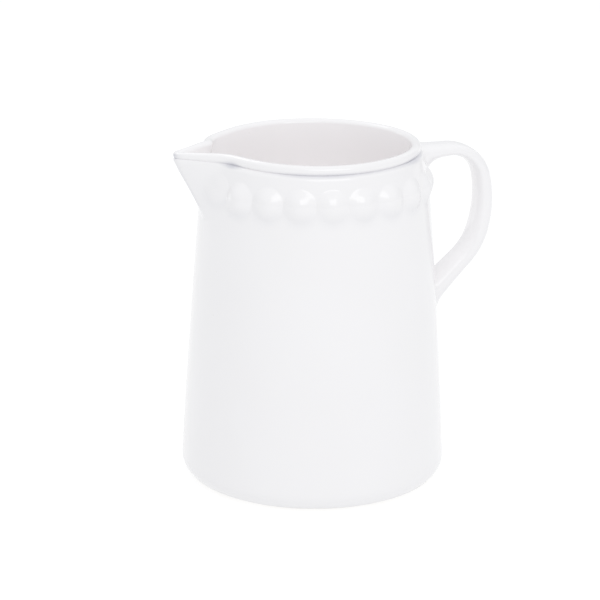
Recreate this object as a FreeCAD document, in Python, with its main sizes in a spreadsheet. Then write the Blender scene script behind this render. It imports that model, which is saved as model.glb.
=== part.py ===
import FreeCAD, Part
import math
import os

import Sketcher

# Glazed ceramic pitcher with a beaded shoulder, a beak spout and a strap handle.
#
# The pieces are the ones that a potter makes and lutes together before the glaze firing:
# the vessel wall, its foot ring, the pulled spout, the rolled lip, the handle strap and
# the twenty sprigged beads of the shoulder.
#
# Frame: +Z up, the origin on the vessel's axis at the surface that it stands on.  The
# spout points along -X and the handle along +X.  All sizes are in millimetres.

# Point numbers of a sketch's edges, its origin point and its horizontal axis.
START, END, CENTRE = 1, 2, 3
ORIGIN = (-1, 1)
X_AXIS = -1

SIZES = {
    # vessel wall, from the foot up
    "base_radius": 66.0,
    "edge_round": 9.0,
    "joint_height": 2.2,
    "wall_curve": 4200.0,
    "shoulder_radius": 56.95,
    "shoulder_height": 139.0,
    "neck_radius": 52.9,
    "neck_height": 163.5,
    "groove_radius": 50.58,
    "seat_height": 165.6,
    # inside of the vessel
    "floor_height": 8.2,
    "floor_round": 12.0,
    "inner_base_radius": 61.0,
    "inner_shoulder_radius": 52.0,
    "inner_neck_radius": 47.92,
    # foot ring
    "foot_inner_radius": 51.0,
    "foot_edge_round": 1.4,
    # rolled lip
    "lip_radius": 49.25,
    "lip_height": 167.6,
    "lip_roll": 2.4,
    "lip_nose_reach": 66.4,
    "lip_nose_round": 2.6,
    "lip_fillet": 10.0,
    # spout
    "spout_nose_round": 4.7,
    "spout_wall": 4.2,
    "spout_overrun": 3.0,
    # beads
    "bead_places": 22,
    "bead_height": 150.6,
    "bead_radius": 7.3,
    "bead_depth": 5.0,
    "bead_reach": 53.6,
    "pulled_bead_lift": 2.4,
    "pulled_bead_shift": 0.4,
    # handle strap: its centre line in the XZ plane
    "strap_root_reach": 49.0,
    "strap_root_height": 160.5,
    "strap_top_reach": 68.0,
    "strap_top_height": 161.9,
    "strap_bend_reach": 86.6,
    "strap_bend_height": 147.9,
    "strap_side_reach": 85.3,
    "strap_side_height": 118.9,
    "strap_heel_reach": 77.3,
    "strap_heel_height": 105.6,
    "strap_tail_reach": 56.0,
}

# Spout sections from the bottom up: name, height, reach of the nose arc's centre, and the
# angle in degrees between a flank and the spout's own axis.
SPOUT_SECTIONS = [
    ("foot", 134.0, 50.7, 78.0),
    ("low", 142.0, 55.0, 64.0),
    ("middle", 151.7, 59.6, 50.0),
    ("high", 159.0, 63.5, 40.0),
    ("top", 165.6, 66.4, 34.0),
]

# Strap sections along its centre line: name, width across the handle, thickness.
STRAP_SECTIONS = [
    ("root", 19.0, 9.5),
    ("top", 15.5, 6.4),
    ("bend", 15.5, 8.0),
    ("side", 16.0, 9.2),
    ("heel", 16.5, 9.2),
    ("tail", 20.0, 12.0),
]

# First guesses, in degrees from the vertical, of how the vessel's wall, its shoulder and the
# turn below the lip set off.  The tangent constraints of the sketches settle the real ones.
WALL_LEAN = 3
SHOULDER_LEAN = 4
NECK_LEAN = 15


def make_sheet(doc):
    """Put every driving dimension in one spreadsheet, each cell with its alias."""
    sheet = doc.addObject("Spreadsheet::Sheet", "Sizes")
    values = dict(SIZES)
    for name, height, reach, angle in SPOUT_SECTIONS:
        values["spout_height_" + name] = height
        values["spout_reach_" + name] = reach
        values["spout_angle_" + name] = angle
    for name, width, thickness in STRAP_SECTIONS:
        values["strap_width_" + name] = width
        values["strap_thickness_" + name] = thickness
    for row, (alias, value) in enumerate(values.items(), start=1):
        sheet.set("A%d" % row, alias)
        sheet.set("B%d" % row, str(value))
        sheet.setAlias("B%d" % row, alias)
    doc.recompute()
    return sheet


def size(sheet, alias):
    return float(getattr(sheet, alias))


# ---------------------------------------------------------------- sketch helpers

def origin_plane(body, role):
    for item in body.Origin.OriginFeatures:
        if item.Role == role:
            return item
    raise ValueError("no origin plane " + role)


def new_sketch(body, name, role):
    sketch = body.newObject("Sketcher::SketchObject", name)
    sketch.AttachmentSupport = [(origin_plane(body, role), "")]
    sketch.MapMode = "FlatFace"
    return sketch


def vector(x, y):
    return FreeCAD.Vector(x, y, 0)


def add_line(sketch, first, last):
    return sketch.addGeometry(Part.LineSegment(vector(*first), vector(*last)), False)


def add_arc(sketch, centre, radius, start_degrees, end_degrees):
    """A counter-clockwise arc of a circle."""
    circle = Part.Circle(vector(*centre), FreeCAD.Vector(0, 0, 1), radius)
    arc = Part.ArcOfCircle(circle, math.radians(start_degrees), math.radians(end_degrees))
    return sketch.addGeometry(arc, False)


def point_at(sketch, geometry, point):
    place = sketch.getPoint(geometry, point)
    return place.x, place.y


def bind(sketch, constraint, expression):
    index = sketch.addConstraint(constraint)
    sketch.setExpression("Constraints[%d]" % index, expression)


def bind_x(sketch, geometry, point, expression, value, negative=False):
    """Set the distance of a point from the sketch's vertical axis."""
    ends = (geometry, point) + ORIGIN if negative else ORIGIN + (geometry, point)
    bind(sketch, Sketcher.Constraint("DistanceX", *ends, value), expression)


def bind_y(sketch, geometry, point, expression, value):
    bind(sketch, Sketcher.Constraint("DistanceY", *ORIGIN, geometry, point, value), expression)


def bind_radius(sketch, geometry, expression, value):
    bind(sketch, Sketcher.Constraint("Radius", geometry, value), expression)


def join(sketch, first, first_point, second, second_point, smooth=False):
    kind = "Tangent" if smooth else "Coincident"
    sketch.addConstraint(Sketcher.Constraint(kind, first, first_point, second, second_point))


def arc_turning_left(first, last, heading):
    """Centre, radius and end angles of the arc from first to last that leaves first with the
    given heading in degrees and turns left."""
    chord = math.degrees(math.atan2(last[1] - first[1], last[0] - first[0]))
    length = math.hypot(last[0] - first[0], last[1] - first[1])
    radius = length / (2 * math.sin(math.radians(chord - heading)))
    centre = (
        first[0] - radius * math.sin(math.radians(heading)),
        first[1] + radius * math.cos(math.radians(heading)),
    )
    return centre, radius, heading - 90, 2 * chord - heading - 90


def arc_turning_right(first, last, heading):
    """The same for an arc that turns right, then its heading at last.  The arc itself runs
    counter-clockwise, so it starts at last."""
    chord = math.degrees(math.atan2(last[1] - first[1], last[0] - first[0]))
    length = math.hypot(last[0] - first[0], last[1] - first[1])
    radius = length / (2 * math.sin(math.radians(heading - chord)))
    centre = (
        first[0] + radius * math.sin(math.radians(heading)),
        first[1] - radius * math.cos(math.radians(heading)),
    )
    turned = 2 * chord - heading
    return (centre, radius, turned + 90, heading + 90), turned


# ---------------------------------------------------------------- vessel

def outer_profile(sketch, sheet):
    """Outline of the vessel's outer face: rounded edge, wall, shoulder and the turn into the
    groove below the lip.  Returns the first and the last arc."""
    edge_round = size(sheet, "edge_round")
    edge_centre = (size(sheet, "base_radius") - edge_round, edge_round)
    shoulder = (size(sheet, "shoulder_radius"), size(sheet, "shoulder_height"))
    neck = (size(sheet, "neck_radius"), size(sheet, "neck_height"))
    groove = (size(sheet, "groove_radius"), size(sheet, "seat_height"))
    below = math.degrees(math.asin((edge_round - size(sheet, "joint_height")) / edge_round))
    edge = add_arc(sketch, edge_centre, edge_round, -below, WALL_LEAN)
    foot = (edge_centre[0] + edge_round, edge_round)
    wall = add_arc(sketch, *arc_turning_left(foot, shoulder, 90 + WALL_LEAN))
    bend = add_arc(sketch, *arc_turning_left(shoulder, neck, 90 + SHOULDER_LEAN))
    turn = add_arc(sketch, *arc_turning_left(neck, groove, 90 + NECK_LEAN))

    bind_x(sketch, edge, CENTRE, "Sizes.base_radius - Sizes.edge_round", edge_centre[0])
    bind_y(sketch, edge, CENTRE, "Sizes.edge_round", edge_centre[1])
    bind_radius(sketch, edge, "Sizes.edge_round", edge_round)
    bind_y(sketch, edge, START, "Sizes.joint_height", size(sheet, "joint_height"))
    bind_x(sketch, wall, END, "Sizes.shoulder_radius", shoulder[0])
    bind_y(sketch, wall, END, "Sizes.shoulder_height", shoulder[1])
    join(sketch, edge, END, wall, START, smooth=True)
    bind_radius(sketch, wall, "Sizes.wall_curve", size(sheet, "wall_curve"))
    join(sketch, wall, END, bend, START, smooth=True)
    bind_x(sketch, bend, END, "Sizes.neck_radius", neck[0])
    bind_y(sketch, bend, END, "Sizes.neck_height", neck[1])
    join(sketch, bend, END, turn, START, smooth=True)
    bind_x(sketch, turn, END, "Sizes.groove_radius", groove[0])
    bind_y(sketch, turn, END, "Sizes.seat_height", groove[1])
    return edge, turn


def close_with_lines(sketch, first, first_point, corners, last, last_point, smooth=False):
    """Close an outline with straight lines through the corners.  Each corner is its position
    and the two expressions that hold it, None where the vertical axis does.  The first line
    can leave its arc smoothly."""
    places = [point_at(sketch, first, first_point)]
    places += [corner[0] for corner in corners]
    places.append(point_at(sketch, last, last_point))
    lines = [add_line(sketch, a, b) for a, b in zip(places, places[1:])]
    join(sketch, first, first_point, lines[0], START, smooth)
    for line, following, (place, x_rule, y_rule) in zip(lines, lines[1:], corners):
        join(sketch, line, END, following, START)
        bind_x(sketch, line, END, x_rule or "0", place[0])
        bind_y(sketch, line, END, y_rule, place[1])
    join(sketch, lines[-1], END, last, last_point)


def revolve(body, sketch, name):
    feature = body.newObject("PartDesign::Revolution", name)
    feature.Profile = sketch
    feature.ReferenceAxis = (sketch, ["V_Axis"])
    feature.Angle = 360.0
    return feature


def make_vessel_form(doc, sheet):
    """The solid inside the vessel's outer face.  It only trims the pieces luted onto it."""
    body = doc.addObject("PartDesign::Body", "vessel_form")
    sketch = new_sketch(body, "vessel_form_profile", "XZ_Plane")
    edge, turn = outer_profile(sketch, sheet)
    corners = [
        ((0.0, size(sheet, "seat_height")), None, "Sizes.seat_height"),
        ((0.0, size(sheet, "joint_height")), None, "Sizes.joint_height"),
    ]
    close_with_lines(sketch, turn, END, corners, edge, START)
    revolve(body, sketch, "vessel_form_turned")
    return body


def inner_profile(sketch, sheet):
    """Outline of the vessel's inner face, from the floor up.  Returns its two end arcs."""
    floor_round = size(sheet, "floor_round")
    centre = (
        size(sheet, "inner_base_radius") - floor_round,
        size(sheet, "floor_height") + floor_round,
    )
    shoulder = (size(sheet, "inner_shoulder_radius"), size(sheet, "shoulder_height"))
    neck = (size(sheet, "inner_neck_radius"), size(sheet, "seat_height"))
    foot = (centre[0] + floor_round, centre[1])
    corner = add_arc(sketch, centre, floor_round, -90, WALL_LEAN)
    wall = add_arc(sketch, *arc_turning_left(foot, shoulder, 90 + WALL_LEAN))
    bend = add_arc(sketch, *arc_turning_left(shoulder, neck, 90 + SHOULDER_LEAN))

    bind_x(sketch, corner, CENTRE, "Sizes.inner_base_radius - Sizes.floor_round", centre[0])
    bind_y(sketch, corner, CENTRE, "Sizes.floor_height + Sizes.floor_round", centre[1])
    bind_radius(sketch, corner, "Sizes.floor_round", floor_round)
    bind_x(sketch, wall, END, "Sizes.inner_shoulder_radius", shoulder[0])
    bind_y(sketch, wall, END, "Sizes.shoulder_height", shoulder[1])
    join(sketch, corner, END, wall, START, smooth=True)
    bind_radius(sketch, wall, "Sizes.wall_curve", size(sheet, "wall_curve"))
    join(sketch, wall, END, bend, START, smooth=True)
    bind_x(sketch, bend, END, "Sizes.inner_neck_radius", neck[0])
    bind_y(sketch, bend, END, "Sizes.seat_height", neck[1])
    return corner, bend


def make_vessel_wall(doc, sheet):
    """Turned wall and floor in one, with the notch that opens it into the spout."""
    body = doc.addObject("PartDesign::Body", "vessel_wall")
    sketch = new_sketch(body, "vessel_wall_profile", "XZ_Plane")
    edge, turn = outer_profile(sketch, sheet)
    corner, bend = inner_profile(sketch, sheet)
    top = add_line(sketch, point_at(sketch, turn, END), point_at(sketch, bend, END))
    join(sketch, turn, END, top, START)
    join(sketch, bend, END, top, END)
    corners = [
        ((0.0, size(sheet, "floor_height")), None, "Sizes.floor_height"),
        ((0.0, size(sheet, "joint_height")), None, "Sizes.joint_height"),
    ]
    close_with_lines(sketch, corner, START, corners, edge, START, smooth=True)
    revolve(body, sketch, "vessel_wall_turned")
    doc.recompute()
    loft_spout(doc, body, sheet, "PartDesign::SubtractiveLoft", "Sizes.spout_wall")
    return body


def make_foot_ring(doc, sheet):
    """Bare ring below the floor.  Its outer face carries on the vessel's rounded edge."""
    body = doc.addObject("PartDesign::Body", "foot_ring")
    sketch = new_sketch(body, "foot_ring_profile", "XZ_Plane")
    edge_round = size(sheet, "edge_round")
    centre = (size(sheet, "base_radius") - edge_round, edge_round)
    joint = size(sheet, "joint_height")
    inner = size(sheet, "foot_inner_radius")
    small = size(sheet, "foot_edge_round")
    below = math.degrees(math.asin((edge_round - joint) / edge_round))
    outer = add_arc(sketch, centre, edge_round, -90, -below)
    inside = add_arc(sketch, (inner + small, small), small, 180, 270)
    sole = add_line(sketch, (inner + small, 0), (centre[0], 0))

    bind_x(sketch, outer, CENTRE, "Sizes.base_radius - Sizes.edge_round", centre[0])
    bind_y(sketch, outer, CENTRE, "Sizes.edge_round", edge_round)
    bind_radius(sketch, outer, "Sizes.edge_round", edge_round)
    bind_y(sketch, outer, END, "Sizes.joint_height", joint)
    join(sketch, sole, END, outer, START, smooth=True)
    join(sketch, inside, END, sole, START, smooth=True)
    bind_radius(sketch, inside, "Sizes.foot_edge_round", small)
    bind_y(sketch, inside, CENTRE, "Sizes.foot_edge_round", small)
    bind_x(sketch, inside, CENTRE, "Sizes.foot_inner_radius + Sizes.foot_edge_round", inner + small)
    bind_y(sketch, inside, START, "Sizes.foot_edge_round", small)
    corners = [((inner, joint), "Sizes.foot_inner_radius", "Sizes.joint_height")]
    close_with_lines(sketch, outer, END, corners, inside, START)
    revolve(body, sketch, "foot_ring_turned")
    return body


# ---------------------------------------------------------------- spout

def spout_section(body, sheet, name, height_rule, inset_rule, inset, prefix):
    """One level section of the spout: a nose arc, two straight flanks that end at their
    nearest points to the vessel's axis, and a chord between those."""
    reach = size(sheet, "spout_reach_" + name)
    angle = math.radians(size(sheet, "spout_angle_" + name))
    nose = size(sheet, "spout_nose_round") - inset
    offset = reach * math.sin(angle) + nose
    touch = (-reach - nose * math.sin(angle), nose * math.cos(angle))
    near = (-offset * math.sin(angle), offset * math.cos(angle))
    mirrored_touch = (touch[0], -touch[1])
    mirrored_near = (near[0], -near[1])

    sketch = new_sketch(body, prefix + name, "XY_Plane")
    sketch.setExpression("AttachmentOffset.Base.z", height_rule)
    turn = 90 - math.degrees(angle)
    arc = add_arc(sketch, (-reach, 0), nose, 180 - turn, 180 + turn)
    upper = add_line(sketch, touch, near)
    lower = add_line(sketch, mirrored_near, mirrored_touch)
    chord = add_line(sketch, near, mirrored_near)
    spoke = add_line(sketch, (0, 0), near)
    sketch.toggleConstruction(spoke)

    sketch.addConstraint(Sketcher.Constraint("PointOnObject", arc, CENTRE, X_AXIS))
    bind_x(sketch, arc, CENTRE, "Sizes.spout_reach_" + name, reach, negative=True)
    bind_radius(sketch, arc, "Sizes.spout_nose_round" + inset_rule, nose)
    join(sketch, arc, START, upper, START, smooth=True)
    join(sketch, lower, END, arc, END, smooth=True)
    bind(sketch, Sketcher.Constraint("Angle", upper, angle), "Sizes.spout_angle_%s * 1 deg" % name)
    join(sketch, upper, END, chord, START)
    join(sketch, chord, END, lower, START)
    join(sketch, spoke, START, *ORIGIN)
    join(sketch, spoke, END, upper, END)
    sketch.addConstraint(Sketcher.Constraint("Perpendicular", spoke, upper))
    sketch.addConstraint(Sketcher.Constraint("Symmetric", upper, END, lower, START, X_AXIS))
    return sketch


def loft_spout(doc, body, sheet, kind, inset_alias=None):
    """Loft the spout's sections, drawn in by the wall's thickness where it is its channel.
    The channel runs past the seat of the lip, so that it is cut right through."""
    channel = inset_alias is not None
    inset = size(sheet, "spout_wall") if channel else 0.0
    inset_rule = " - " + inset_alias if channel else ""
    prefix = body.Name + ("_channel_" if channel else "_flank_")
    sections = []
    for name, _, _, _ in SPOUT_SECTIONS:
        rule = "Sizes.spout_height_" + name
        sections.append(spout_section(body, sheet, name, rule, inset_rule, inset, prefix))
    if channel:
        rule = "Sizes.spout_height_top + Sizes.spout_overrun"
        last = spout_section(body, sheet, "top", rule, inset_rule, inset, prefix + "over_")
        sections.append(last)
    loft = body.newObject(kind, prefix + "loft")
    loft.Profile = sections[0]
    loft.Sections = sections[1:]
    doc.recompute()
    return loft


def make_spout_blank(doc, sheet):
    """The spout as pulled, still running back into the vessel."""
    body = doc.addObject("PartDesign::Body", "spout_blank")
    loft_spout(doc, body, sheet, "PartDesign::AdditiveLoft")
    loft_spout(doc, body, sheet, "PartDesign::SubtractiveLoft", "Sizes.spout_wall")
    return body


# ---------------------------------------------------------------- rolled lip

def lip_path(body, sheet):
    """Level centre line of the lip: the ring, a fillet into each flank, and the nose."""
    ring = size(sheet, "lip_radius")
    nose = size(sheet, "lip_nose_round")
    reach = size(sheet, "lip_nose_reach")
    fillet = size(sheet, "lip_fillet")
    half = size(sheet, "spout_angle_top")
    angle = math.radians(half)
    offset = reach * math.sin(angle) + nose + fillet
    along = math.sqrt((ring + fillet) ** 2 - offset ** 2)
    centre = (
        -offset * math.sin(angle) - along * math.cos(angle),
        offset * math.cos(angle) - along * math.sin(angle),
    )
    bearing = math.degrees(math.atan2(centre[1], centre[0]))

    sketch = new_sketch(body, "lip_path", "XY_Plane")
    sketch.setExpression("AttachmentOffset.Base.z", "Sizes.lip_height")
    left = add_arc(sketch, (0, 0), ring, 0, bearing)
    left_fillet = add_arc(sketch, centre, fillet, half - 90, bearing - 180)
    tip = add_arc(sketch, (-reach, 0), nose, 90 + half, 270 - half)
    left_flank = add_line(sketch, point_at(sketch, left_fillet, START), point_at(sketch, tip, START))
    right = add_arc(sketch, (0, 0), ring, -bearing, 0)
    right_fillet = add_arc(sketch, (centre[0], -centre[1]), fillet, 180 - bearing, 90 - half)
    right_flank = add_line(sketch, point_at(sketch, tip, END), point_at(sketch, right_fillet, END))

    for arc in (left, right):
        join(sketch, arc, CENTRE, *ORIGIN)
    bind_radius(sketch, left, "Sizes.lip_radius", ring)
    bind_radius(sketch, left_fillet, "Sizes.lip_fillet", fillet)
    bind_radius(sketch, tip, "Sizes.lip_nose_round", nose)
    sketch.addConstraint(Sketcher.Constraint("PointOnObject", tip, CENTRE, X_AXIS))
    bind_x(sketch, tip, CENTRE, "Sizes.lip_nose_reach", reach, negative=True)
    sketch.addConstraint(Sketcher.Constraint("PointOnObject", left, START, X_AXIS))
    join(sketch, right, END, left, START)
    join(sketch, left, END, left_fillet, END, smooth=True)
    join(sketch, left_fillet, START, left_flank, START, smooth=True)
    join(sketch, left_flank, END, tip, START, smooth=True)
    join(sketch, tip, END, right_flank, START, smooth=True)
    join(sketch, right_flank, END, right_fillet, END, smooth=True)
    join(sketch, right_fillet, START, right, START, smooth=True)
    turned = Sketcher.Constraint("Angle", left_flank, angle - math.pi)
    bind(sketch, turned, "(Sizes.spout_angle_top - 180) * 1 deg")
    mirrored = Sketcher.Constraint("Symmetric", left_flank, START, right_flank, END, X_AXIS)
    sketch.addConstraint(mirrored)
    return sketch


def make_rolled_lip(doc, sheet):
    """Round roll of clay that caps the wall and the spout, flattened where it is seated."""
    body = doc.addObject("PartDesign::Body", "rolled_lip")
    path = lip_path(body, sheet)
    section = new_sketch(body, "lip_section", "XZ_Plane")
    centre = (size(sheet, "lip_radius"), size(sheet, "lip_height"))
    circle = Part.Circle(vector(*centre), FreeCAD.Vector(0, 0, 1), size(sheet, "lip_roll"))
    roll = section.addGeometry(circle, False)
    bind_radius(section, roll, "Sizes.lip_roll", size(sheet, "lip_roll"))
    bind_x(section, roll, CENTRE, "Sizes.lip_radius", centre[0])
    bind_y(section, roll, CENTRE, "Sizes.lip_height", centre[1])
    doc.recompute()
    pipe = body.newObject("PartDesign::AdditivePipe", "lip_rolled")
    pipe.Profile = section
    pipe.Spine = (path, [])
    doc.recompute()

    seat = new_sketch(body, "lip_seat", "XY_Plane")
    seat.setExpression("AttachmentOffset.Base.z", "Sizes.seat_height")
    cover = 2 * size(sheet, "lip_nose_reach")
    disc = seat.addGeometry(Part.Circle(vector(0, 0), FreeCAD.Vector(0, 0, 1), cover), False)
    join(seat, disc, CENTRE, *ORIGIN)
    bind_radius(seat, disc, "2 * Sizes.lip_nose_reach", cover)
    doc.recompute()
    flat = body.newObject("PartDesign::Pocket", "lip_seated")
    flat.Profile = seat
    flat.setExpression("Length", "Sizes.lip_roll")
    return body


# ---------------------------------------------------------------- handle

def strap_path(body, sheet):
    """Centre line of the strap: nearly level at the root, a tight bend, a long easy side, the
    heel, and a straight tail down to the wall.  Returns it with its stations, each a name,
    a place and the heading there."""
    points = {}
    for name in ("root", "top", "bend", "side", "heel"):
        reach = size(sheet, "strap_%s_reach" % name)
        points[name] = (reach, size(sheet, "strap_%s_height" % name))
    run = (points["top"][0] - points["root"][0], points["top"][1] - points["root"][1])
    heading = math.degrees(math.atan2(run[1], run[0]))
    stations = [("root", points["root"], heading), ("top", points["top"], heading)]

    sketch = new_sketch(body, "strap_path", "XZ_Plane")
    root = add_line(sketch, points["root"], points["top"])
    for point, name in ((START, "root"), (END, "top")):
        bind_x(sketch, root, point, "Sizes.strap_%s_reach" % name, points[name][0])
        bind_y(sketch, root, point, "Sizes.strap_%s_height" % name, points[name][1])
    previous = (root, END)
    for first, last in (("top", "bend"), ("bend", "side"), ("side", "heel")):
        shape, heading = arc_turning_right(points[first], points[last], heading)
        arc = add_arc(sketch, *shape)
        join(sketch, *previous, arc, END, smooth=True)
        bind_x(sketch, arc, START, "Sizes.strap_%s_reach" % last, points[last][0])
        bind_y(sketch, arc, START, "Sizes.strap_%s_height" % last, points[last][1])
        stations.append((last, points[last], heading))
        previous = (arc, START)
    drop = (points["heel"][0] - size(sheet, "strap_tail_reach")) * math.tan(math.radians(heading))
    tail = (size(sheet, "strap_tail_reach"), points["heel"][1] - drop)
    line = add_line(sketch, points["heel"], tail)
    join(sketch, *previous, line, START, smooth=True)
    bind_x(sketch, line, END, "Sizes.strap_tail_reach", tail[0])
    stations.append(("tail", tail, heading))
    return sketch, stations


def strap_section(body, sheet, name, place, heading):
    """Oval section square to the strap's centre line."""
    width = size(sheet, "strap_width_" + name)
    thickness = size(sheet, "strap_thickness_" + name)
    sketch = new_sketch(body, "strap_section_" + name, "YZ_Plane")
    tilt = FreeCAD.Rotation(FreeCAD.Vector(1, 0, 0), -heading)
    sketch.AttachmentOffset = FreeCAD.Placement(FreeCAD.Vector(0, place[1], place[0]), tilt)
    oval = Part.Ellipse(vector(width / 2, 0), vector(0, thickness / 2), vector(0, 0))
    outline = sketch.addGeometry(oval, False)
    sketch.exposeInternalGeometry(outline)
    join(sketch, outline, CENTRE, *ORIGIN)
    across = outline + 1
    through = outline + 2
    sketch.addConstraint(Sketcher.Constraint("Horizontal", across))
    bind(sketch, Sketcher.Constraint("Distance", across, width), "Sizes.strap_width_" + name)
    rule = "Sizes.strap_thickness_" + name
    bind(sketch, Sketcher.Constraint("Distance", through, thickness), rule)
    return sketch


def make_strap_blank(doc, sheet):
    """The handle strap as pulled, with both ends still running into the vessel."""
    body = doc.addObject("PartDesign::Body", "strap_blank")
    path, stations = strap_path(body, sheet)
    sections = [strap_section(body, sheet, *station) for station in stations]
    doc.recompute()
    pipe = body.newObject("PartDesign::AdditivePipe", "strap_pulled")
    pipe.Profile = sections[0]
    pipe.Spine = (path, [])
    pipe.Transformation = "Multisection"
    pipe.Sections = sections[1:]
    return body


# ---------------------------------------------------------------- luting pieces together

def trim(doc, name, piece, tool):
    """Cut a piece back to the face that it is luted to."""
    cut = doc.addObject("Part::Cut", name)
    cut.Base = piece
    cut.Tool = tool
    return cut


def make_bead_blank(doc, sheet, name, place, pulled):
    """A flattened ball of clay, its short axis square to the shoulder.  The beads beside the
    spout were carried outwards and up a little when the spout was pulled."""
    turn = "%d * 360 deg / Sizes.bead_places" % place
    reach = "Sizes.bead_reach"
    height = "Sizes.bead_height"
    if pulled:
        reach = "(Sizes.bead_reach + Sizes.pulled_bead_shift)"
        height = "Sizes.bead_height + Sizes.pulled_bead_lift"
    azimuth = math.radians(place * 360.0 / size(sheet, "bead_places"))
    fall = size(sheet, "shoulder_radius") - size(sheet, "neck_radius")
    rise = size(sheet, "neck_height") - size(sheet, "shoulder_height")
    outward = FreeCAD.Vector(math.cos(azimuth), math.sin(azimuth), fall / rise)
    ball = doc.addObject("Part::Ellipsoid", name)
    ball.setExpression("Radius1", "Sizes.bead_depth")
    ball.setExpression("Radius2", "Sizes.bead_radius")
    ball.setExpression("Radius3", "Sizes.bead_radius")
    facing = FreeCAD.Rotation(FreeCAD.Vector(0, 0, 1), outward)
    ball.Placement = FreeCAD.Placement(FreeCAD.Vector(0, 0, 0), facing)
    ball.setExpression("Placement.Base.x", "%s * cos(%s)" % (reach, turn))
    ball.setExpression("Placement.Base.y", "%s * sin(%s)" % (reach, turn))
    ball.setExpression("Placement.Base.z", height)
    return ball


def make_beads(doc, sheet, form, spout):
    """One bead at each place of the ring except the two that the handle and the spout take."""
    places = int(size(sheet, "bead_places"))
    spout_place = places // 2
    beads = []
    for place in range(1, places):
        if place == spout_place:
            continue
        name = "bead_%02d" % (len(beads) + 1)
        beside_spout = abs(place - spout_place) == 1
        bead = make_bead_blank(doc, sheet, name + "_ball", place, beside_spout)
        if beside_spout:
            bead = trim(doc, name + "_pulled", bead, spout)
        beads.append(trim(doc, name, bead, form))
    return beads


def failures(doc, pieces):
    """Every object that did not recompute and every piece without a valid closed shape."""
    bad = []
    for item in doc.Objects:
        if "Invalid" in item.State or "Error" in item.State:
            bad.append("%s is %s" % (item.Name, item.State))
    for piece in pieces:
        shape = piece.Shape
        if shape.isNull() or not shape.isValid() or len(shape.Solids) != 1:
            bad.append("%s has no single valid solid" % piece.Label)
    return bad


def main():
    doc = FreeCAD.newDocument("pitcher")
    sheet = make_sheet(doc)
    form = make_vessel_form(doc, sheet)
    spout = trim(doc, "spout", make_spout_blank(doc, sheet), form)
    handle = trim(doc, "handle", make_strap_blank(doc, sheet), form)
    pieces = [
        make_vessel_wall(doc, sheet),
        make_foot_ring(doc, sheet),
        make_rolled_lip(doc, sheet),
        spout,
        handle,
    ]
    pieces += make_beads(doc, sheet, form, spout)
    doc.recompute()

    bad = failures(doc, pieces)
    if bad:
        raise RuntimeError("; ".join(bad))
    os.makedirs("parts", exist_ok=True)
    for piece in pieces:
        piece.Label = piece.Name
        piece.Shape.exportStep(os.path.join("parts", piece.Label + ".step"))
        print("%-12s %10.1f mm3" % (piece.Label, piece.Shape.Volume))


main()
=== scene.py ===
import math

import bpy
import numpy as np
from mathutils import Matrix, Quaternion, Vector


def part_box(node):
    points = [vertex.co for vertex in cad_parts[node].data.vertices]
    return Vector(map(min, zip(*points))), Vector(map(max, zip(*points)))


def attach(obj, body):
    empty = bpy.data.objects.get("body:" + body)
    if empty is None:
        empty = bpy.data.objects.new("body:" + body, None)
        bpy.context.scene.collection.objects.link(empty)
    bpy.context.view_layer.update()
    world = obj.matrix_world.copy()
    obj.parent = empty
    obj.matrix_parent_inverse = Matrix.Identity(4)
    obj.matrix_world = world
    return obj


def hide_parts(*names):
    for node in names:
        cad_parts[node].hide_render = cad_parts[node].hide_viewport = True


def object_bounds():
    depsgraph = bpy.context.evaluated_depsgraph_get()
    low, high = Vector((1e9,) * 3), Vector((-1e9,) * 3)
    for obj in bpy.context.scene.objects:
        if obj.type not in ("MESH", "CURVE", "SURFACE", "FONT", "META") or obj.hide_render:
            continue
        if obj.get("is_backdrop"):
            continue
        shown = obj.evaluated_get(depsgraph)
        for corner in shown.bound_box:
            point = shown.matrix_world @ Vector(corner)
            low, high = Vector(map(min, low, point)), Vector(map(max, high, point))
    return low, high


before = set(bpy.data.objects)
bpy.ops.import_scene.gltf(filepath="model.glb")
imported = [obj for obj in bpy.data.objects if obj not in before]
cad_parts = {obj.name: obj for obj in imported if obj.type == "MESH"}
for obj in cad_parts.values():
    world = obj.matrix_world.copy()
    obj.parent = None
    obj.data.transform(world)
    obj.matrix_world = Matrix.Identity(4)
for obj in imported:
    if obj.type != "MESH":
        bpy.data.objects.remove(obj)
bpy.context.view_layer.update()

# A white glazed pitcher. Shapes are worked out in millimetres in the CAD frame: Z up, the
# handle towards +X and the spout towards -X. "phi" is the bearing from the spout, so the
# handle lies at +-180 degrees. One function gives the outer skin and one the inner, and
# every piece is laid on them, so that the pieces meet as glazed clay does.

MM = 0.001
DEG = math.pi / 180


def box_mm(node):
    """Lowest and highest corner of a CAD node, in millimetres."""
    lo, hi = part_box(node)
    return np.array(lo) / MM, np.array(hi) / MM


FOOT_TOP = box_mm("foot_ring")[1][2]
WALL_TOP = box_mm("vessel_wall")[1][2]
LIP_TOP = box_mm("rolled_lip")[1][2]
LIP_OUTER = box_mm("rolled_lip")[1][0]
LIP_TIP = -box_mm("rolled_lip")[0][0]
BEADS = sorted(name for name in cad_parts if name.startswith("bead_"))

# Outer profile above the foot, as (radius, height): the rounded edge, the arc of the wall that
# leads to the shoulder, and the arc that leads to the neck.
EDGE_CENTRE, EDGE_ROUND = (57.0, 9.0), 9.0
EDGE_END = (65.987, 9.488)                         # where the edge runs into the wall
SHOULDER, NECK = (56.95, 139.0), (52.9, 163.5)
WALL_CURVE, SHOULDER_CURVE = 4200.0, 157.918

# Inner profile: a rounded corner at the floor, then the same kind of arcs.
FLOOR_HEIGHT, FLOOR_ROUND, FLOOR_DISH, INNER_BASE = 8.2, 12.0, 0.5, 61.0
INNER_SHOULDER, INNER_NECK, INNER_BEND = (52.0, 139.0), (48.1, 165.6), 210.0

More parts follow.
